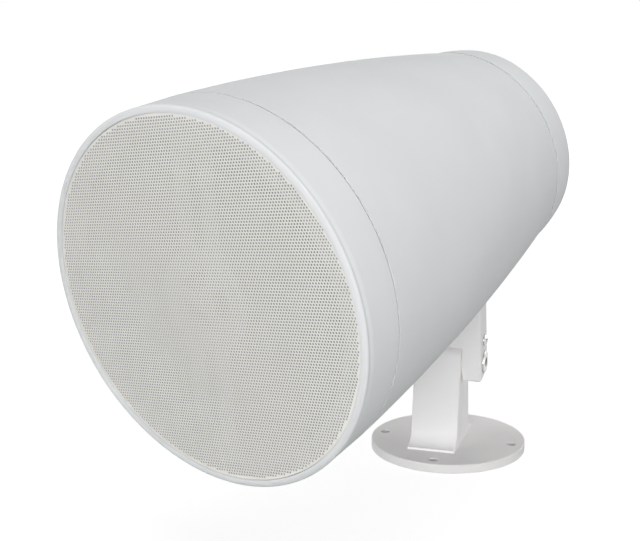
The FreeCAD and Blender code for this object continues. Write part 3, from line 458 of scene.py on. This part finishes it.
flatForm.extrude = (bridgeSet["half"] - bridgeSet["edge"]) * mm
flatForm.bevel_depth = bridgeSet["edge"] * mm
flatForm.bevel_resolution = bridgeSet["edgeRows"]
flatForm.offset = -bridgeSet["edge"] * mm
for loop in loops:
    run = flatForm.splines.new("POLY")
    run.points.add(len(loop) - 1)
    for point, (x, z) in zip(run.points, loop):
        point.co = (x * mm, z * mm, 0, 1)
    run.use_cyclic_u = True
bridgeMesh = plainMesh(bpy.data.objects.new("bridgeHost", flatForm))
solidForm = bmesh.new()
solidForm.from_mesh(bridgeMesh)
bmesh.ops.remove_doubles(solidForm, verts=solidForm.verts, dist=bridgeSet["weld"] * mm)
bmesh.ops.recalc_face_normals(solidForm, faces=solidForm.faces)
solidForm.to_mesh(bridgeMesh)
solidForm.free()
bridgeMesh.materials.clear()
bridgeMesh.materials.append(finish["white_abs"])
bridge = placeMesh("tweeterBridge", bridgeMesh, facingFront(bridgeSet["middle"]), "speaker")
print("bridge made:", len(bridgeMesh.polygons), "faces")
bridgeBack = bridgeSet["middle"] + bridgeSet["half"] + bridgeSet["room"]

# Bridge carrier: clamped behind the bezel's ledge, standing on the baffle
carrierSet = {"innerR": 84.2, "seatR": 85.6, "spokes": 160,
              "leg": [(85.6, -196.5), (88.0, -196.5), (88.0, -187.05), (87.0, -187.05), (87.0, -195.4),
                      (84.2, -195.4)]}
outline = [(carrierSet["seatR"], bridgeBack)] + carrierSet["leg"] + [(carrierSet["innerR"], bridgeBack)]
carrierMesh = turnProfile("bridgeCarrier", outline, carrierSet["spokes"], "white_abs")
carrier = placeMesh("bridgeCarrier", carrierMesh, speakerFrame, "speaker")
print("carrier turned:", len(carrierMesh.polygons), "faces")

# Tweeter capsule behind the hub, with its dome under the sound slots
capsuleSet = {"dome": [(0, -195.6), (5, -195.3), (9, -194.4), (12, -193.0), (13.5, -193.4), (15.5, -194.0)],
              "flangeIn": 16, "flangeOut": 22.5, "can": [(22.5, -185.5), (21.0, -184.0), (0, -184.0)],
              "spokes": 96}
flange = [(capsuleSet["flangeIn"], bridgeBack), (capsuleSet["flangeOut"], bridgeBack)]
outline = capsuleSet["dome"] + flange + capsuleSet["can"]
capsuleMesh = turnProfile("tweeterCapsule", outline, capsuleSet["spokes"], "black_abs")
capsule = placeMesh("tweeterCapsule", capsuleMesh, speakerFrame, "speaker")
print("capsule turned:", len(capsuleMesh.polygons), "faces")

# Cross-recess pan-head screws: one tree, used for the rear cap's four and for the arm's lock screw
screwForm = {"corners": 32, "shankCorners": 20, "weld": 0.005, "seed": 7, "mostTurn": 1.2,
             # straight rim, then the dome: share of the height, and the width that is left
             "dome": ((0.34, 1.0), (0.2, 0.86), (0.2, 0.72), (0.14, 0.62), (0.12, 0.4))}
screwLengths = ("Ring", "Head", "Height", "Shank", "Length", "Wing", "Span", "Deep")
screwTree = bpy.data.node_groups.new("crossScrews", "GeometryNodeTree")
screwInputs = addInputs(screwTree, screwLengths + ("Turn",), "NodeSocketFloat")
screwInputs.update(addInputs(screwTree, ("Count",), "NodeSocketInt"))
screwInputs.update(addInputs(screwTree, ("Metal",), "NodeSocketMaterial"))
screwTree.interface.new_socket("Screws", in_out="OUTPUT", socket_type="NodeSocketGeometry")
tree = screwTree
given = addNode(tree, "NodeGroupInput").outputs
disc = addNode(tree, "GeometryNodeMeshCircle", {"fill_type": "NGON", "Vertices": screwForm["corners"],
                                                "Radius": given["Head"]}).outputs[0]
head = disc
top = True  # the whole disc is lifted first, then only its top
for rise, shrink in screwForm["dome"]:
    up = addNode(tree, "ShaderNodeMath", {"operation": "MULTIPLY", 0: given["Height"], 1: rise}).outputs[0]
    up = addNode(tree, "ShaderNodeCombineXYZ", {"Z": up}).outputs[0]
    grown = addNode(tree, "GeometryNodeExtrudeMesh", {"mode": "FACES", "Offset Scale": 1.0, "Mesh": head,
                                                      "Offset": up, "Selection": top}).outputs
    top = grown["Top"]
    head = addNode(tree, "GeometryNodeScaleElements",
                   {"domain": "FACE", "Scale": shrink, "Geometry": grown["Mesh"],
                    "Selection": top}).outputs[0]
foot = addNode(tree, "GeometryNodeFlipFaces", {"Mesh": disc}).outputs[0]
head = addNode(tree, "GeometryNodeJoinGeometry", {0: [head, foot]}).outputs[0]
head = addNode(tree, "GeometryNodeMergeByDistance",
               {"Geometry": head, "Distance": screwForm["weld"] * mm}).outputs[0]
deep = addNode(tree, "ShaderNodeMath", {"operation": "MULTIPLY", 0: given["Deep"], 1: 2.0}).outputs[0]
atTop = addNode(tree, "ShaderNodeCombineXYZ", {"Z": given["Height"]}).outputs[0]
crossSizes = ((given["Span"], given["Wing"]), (given["Wing"], given["Span"]))
for length, width in crossSizes:  # the two slots of the cross; half of each box stands above the head
    size = addNode(tree, "ShaderNodeCombineXYZ", {"X": length, "Y": width, "Z": deep}).outputs[0]
    slotBox = addNode(tree, "GeometryNodeMeshCube", {"Size": size}).outputs[0]
    slotBox = addNode(tree, "GeometryNodeTransform", {"Geometry": slotBox, "Translation": atTop}).outputs[0]
    head = addNode(tree, "GeometryNodeMeshBoolean", {"operation": "DIFFERENCE", "solver": "MANIFOLD",
                                                     "Mesh 1": head, "Mesh 2": slotBox}).outputs[0]
shank = addNode(tree, "GeometryNodeMeshCylinder",
                {"Vertices": screwForm["shankCorners"], "Radius": given["Shank"],
                 "Depth": given["Length"]}).outputs[0]
sink = addNode(tree, "ShaderNodeMath", {"operation": "MULTIPLY", 0: given["Length"], 1: -0.5}).outputs[0]
sink = addNode(tree, "ShaderNodeCombineXYZ", {"Z": sink}).outputs[0]
shank = addNode(tree, "GeometryNodeTransform", {"Geometry": shank, "Translation": sink}).outputs[0]
screw = addNode(tree, "GeometryNodeJoinGeometry", {0: [head, shank]}).outputs[0]
number = addNode(tree, "GeometryNodeInputIndex").outputs[0]
angle = addNode(tree, "ShaderNodeMath", {"operation": "DIVIDE", 0: number, 1: given["Count"]}).outputs[0]
angle = addNode(tree, "ShaderNodeMath", {"operation": "MULTIPLY_ADD", 0: angle, 1: 2 * math.pi,
                                         2: given["Turn"]}).outputs[0]
across = addNode(tree, "ShaderNodeMath", {"operation": "COSINE", 0: angle}).outputs[0]
upright = addNode(tree, "ShaderNodeMath", {"operation": "SINE", 0: angle}).outputs[0]
spot = addNode(tree, "ShaderNodeCombineXYZ", {"X": across, "Y": upright}).outputs[0]
spot = addNode(tree, "ShaderNodeVectorMath", {"operation": "SCALE", 0: spot,
                                              "Scale": given["Ring"]}).outputs[0]
points = addNode(tree, "GeometryNodePoints", {"Count": given["Count"], "Position": spot}).outputs[0]
stopAt = addNode(tree, "FunctionNodeRandomValue",  # each screw stops at its own angle
                 {"data_type": "FLOAT", "Seed": screwForm["seed"], "ID": number,
                  3: screwForm["mostTurn"]}).outputs[1]
stopAt = addNode(tree, "ShaderNodeCombineXYZ", {"Z": stopAt}).outputs[0]
stopAt = addNode(tree, "FunctionNodeEulerToRotation", {0: stopAt}).outputs[0]
placed = addNode(tree, "GeometryNodeInstanceOnPoints",
                 {"Points": points, "Instance": screw, "Rotation": stopAt}).outputs[0]
real = addNode(tree, "GeometryNodeRealizeInstances", {"Geometry": placed}).outputs[0]
metal = addNode(tree, "GeometryNodeSetMaterial", {"Geometry": real, "Material": given["Metal"]}).outputs[0]
addNode(tree, "NodeGroupOutput", {0: metal})

screwSets = {
    "rearCapScrews": {"Count": 4, "Ring": 47.5, "Turn": 45, "Head": 3.0, "Height": 2.0, "Shank": 1.9,
                      "Length": 15.9, "Wing": 0.75, "Span": 3.3, "Deep": 1.2,
                      "body": "speaker", "frame": speakerFrame, "seat": (0, 44.0, 0), "lean": (-90, "X"),
                      "old": ["rear_cap_screw_%d" % k for k in (1, 2, 3, 4)]},
    "lockScrew": {"Count": 1, "Ring": 0.0, "Turn": 0, "Head": 3.4, "Height": 2.0, "Shank": 2.0,
                  "Length": 7.9, "Wing": 0.85, "Span": 3.8, "Deep": 1.2,
                  "body": "yoke", "frame": yokeFrame, "seat": (23.55, 0, 14), "lean": (90, "Y"),
                  "old": ["lock_screw"]},
}
for pieceName, screwSet in screwSets.items():
    values = {label: screwSet[label] * mm for label in screwLengths}
    values["Turn"] = math.radians(screwSet["Turn"])
    values["Count"] = screwSet["Count"]
    values["Metal"] = finish["stainless_steel"]
    screwMesh = growMesh("screwHost", screwTree, screwInputs, values)
    leanBy, leanAxis = screwSet["lean"]
    seat = Matrix.Translation([c * mm for c in screwSet["seat"]])
    matrix = screwSet["frame"] @ seat @ Matrix.Rotation(math.radians(leanBy), 4, leanAxis)
    screws = placeMesh(pieceName, screwMesh, matrix, screwSet["body"])
    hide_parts(*screwSet["old"])
    print(pieceName, len(screwMesh.polygons), "faces")

# Dust cloth behind the sheet: thin open weave, stretched and clamped at its edge
clothSet = {"radius": 89.9, "front": -199.58, "thick": 0.25, "rings": 20, "spokes": 96,
            "slack": 0.03, "waves": 5}
ringCount, spokeCount = clothSet["rings"], clothSet["spokes"]
clothMesh = bpy.data.meshes.new("dustCloth")
weave = bmesh.new()
rows = [[weave.verts.new((0, 0, 0))]]
for ringNo in range(1, ringCount + 1):
    r = clothSet["radius"] * mm * ringNo / ringCount
    spots = []
    for spoke in range(spokeCount):
        a = 2 * math.pi * spoke / spokeCount
        wave = 1 + math.sin(clothSet["waves"] * a + ringNo)
        slack = -clothSet["slack"] * mm * wave * (1 - ringNo / ringCount)
        spots.append(weave.verts.new((r * math.cos(a), r * math.sin(a), slack)))
    rows.append(spots)
for spoke in range(spokeCount):
    after = (spoke + 1) % spokeCount
    weave.faces.new((rows[0][0], rows[1][spoke], rows[1][after]))
    for ringNo in range(1, ringCount):
        near, far = rows[ringNo], rows[ringNo + 1]
        weave.faces.new((near[spoke], far[spoke], far[after], near[after]))
weave.to_mesh(clothMesh)
weave.free()
cloth = placeMesh("dustCloth", clothMesh, facingFront(clothSet["front"]), "speaker")
backing = cloth.modifiers.new("thickness", "SOLIDIFY")
backing.thickness = clothSet["thick"] * mm
backing.offset = -1
# woven polyester scrim: blue-grey threads with open gaps, so bridge and driver show faintly through it
scrimSet = {"thread": 0.55, "wander": 0.6, "detail": 1.0, "gapUnder": 0.55, "fullOver": 0.8, "cover": 0.6,
            "low": "#868a9e", "high": "#a6aabe", "bump": 0.4, "deep": 0.1, "rough": 0.9, "sheen": 0.2}
scrim = bpy.data.materials.new("wovenScrim")
tree = emptyTree(scrim)
where = addNode(tree, "ShaderNodeTexCoord").outputs["Object"]
threadScale = math.pi / (10 * scrimSet["thread"] * mm)  # the texture repeats every pi / (10 * scale)
bands = []
for axis in ("X", "Z"):  # warp and weft; drawn coarser than the real thread so that it shows
    band = addNode(tree, "ShaderNodeTexWave",
                   {"wave_type": "BANDS", "bands_direction": axis, "Scale": threadScale, "Vector": where,
                    "Distortion": scrimSet["wander"], "Detail": scrimSet["detail"]})
    bands.append(band.outputs["Fac"])
thread = addNode(tree, "ShaderNodeMath", {"operation": "MAXIMUM", 0: bands[0], 1: bands[1]}).outputs[0]
cover = addNode(tree, "ShaderNodeMapRange",
                {"From Min": scrimSet["gapUnder"], "From Max": scrimSet["fullOver"], "To Min": 0.0,
                 "To Max": scrimSet["cover"], "Value": thread}).outputs["Result"]
tone = addNode(tree, "ShaderNodeValToRGB", {"Fac": thread})
for stop, colour in zip(tone.color_ramp.elements, ("low", "high")):
    stop.color = linear(scrimSet[colour])
lift = addNode(tree, "ShaderNodeBump", {"Strength": scrimSet["bump"], "Distance": scrimSet["deep"] * mm,
                                        "Height": thread}).outputs["Normal"]
fibre = addNode(tree, "ShaderNodeBsdfPrincipled",
                {"Roughness": scrimSet["rough"], "Sheen Weight": scrimSet["sheen"], "Alpha": cover,
                 "Base Color": tone.outputs["Color"], "Normal": lift})
addNode(tree, "ShaderNodeOutputMaterial", {"Surface": fibre.outputs["BSDF"]})
clothMesh.materials.append(scrim)
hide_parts("dust_cloth")
print("dust cloth laid")


def seenDirectly(tree):  # 1 for rays from the camera, a mirror or a clear surface, 0 for falling light
    path = addNode(tree, "ShaderNodeLightPath").outputs
    seen = addNode(tree, "ShaderNodeMath", {"operation": "ADD", 0: path["Is Camera Ray"],
                                            1: path["Is Glossy Ray"]}).outputs[0]
    return addNode(tree, "ShaderNodeMath", {"operation": "ADD", "use_clamp": True, 0: seen,
                                            1: path["Is Transmission Ray"]}).outputs[0]


# studio: white surround, pale floor that keeps the shadow, soft lamps
studio = {"floor": 4.0, "floorPaint": "#8c8c8c", "ambient": 0.08, "nearGlow": 0.86, "farGlow": 1.0,
          "nearR": 0.25, "farR": 0.9}
world = bpy.data.worlds.new("softStudio")
scene.world = world
tree = emptyTree(world)
fill = addNode(tree, "ShaderNodeBackground", {"Color": plainWhite, "Strength": studio["ambient"]}).outputs[0]
white = addNode(tree, "ShaderNodeBackground", {"Color": plainWhite, "Strength": 1.0}).outputs[0]
both = addNode(tree, "ShaderNodeMixShader", {0: seenDirectly(tree), 1: fill, 2: white}).outputs[0]
addNode(tree, "ShaderNodeOutputWorld", {"Surface": both})

floorMesh = bpy.data.meshes.new("studioFloor")
end = studio["floor"] / 2
floorMesh.from_pydata([(-end, -end, 0), (end, -end, 0), (end, end, 0), (-end, end, 0)], [], [(0, 1, 2, 3)])
floor = bpy.data.objects.new("studioFloor", floorMesh)
scene.collection.objects.link(floor)
# matt floor paint, with a glow that rises to plain white away from the part
floorPaint = bpy.data.materials.new("paleFloorPaint")
tree = emptyTree(floorPaint)
matt = addNode(tree, "ShaderNodeBsdfDiffuse", {"Color": linear(studio["floorPaint"])}).outputs[0]
where = addNode(tree, "ShaderNodeTexCoord").outputs["Object"]
distance = addNode(tree, "ShaderNodeVectorMath", {"operation": "LENGTH", 0: where}).outputs["Value"]
level = addNode(tree, "ShaderNodeMapRange",
                {"From Min": studio["nearR"], "From Max": studio["farR"], "To Min": studio["nearGlow"],
                 "To Max": studio["farGlow"], "Value": distance}).outputs["Result"]
level = addNode(tree, "ShaderNodeMath", {"operation": "MULTIPLY", 0: seenDirectly(tree), 1: level}).outputs[0]
glow = addNode(tree, "ShaderNodeEmission", {"Color": plainWhite, "Strength": level}).outputs[0]
both = addNode(tree, "ShaderNodeAddShader", {0: matt, 1: glow}).outputs[0]
addNode(tree, "ShaderNodeOutputMaterial", {"Surface": both})
floorMesh.materials.append(floorPaint)

lampAim = Vector((0, 0, 0.13))
lamps = {"frontLow": {"place": (0.2, -1.8, 0.32), "size": 0.7, "power": 21.5},
         "farLeft": {"place": (-4.5, -0.75, 1.055), "size": 2.25, "power": 59.4},
         "rightSide": {"place": (1.7, -0.6, 0.3), "size": 0.9, "power": 9},
         "overhead": {"place": (-0.1, 0.1, 1.75), "size": 1.6, "power": 17},
         "back": {"place": (1.2, 1.4, 0.4), "size": 1.0, "power": 8}}
for name, lamp in lamps.items():
    lampData = bpy.data.lights.new(name, "AREA")
    lampData.size = lamp["size"]
    lampData.energy = lamp["power"]
    light = bpy.data.objects.new(name, lampData)
    light.location = lamp["place"]
    light.rotation_euler = (lampAim - Vector(lamp["place"])).to_track_quat("-Z", "Y").to_euler()
    scene.collection.objects.link(light)
print("studio lit")
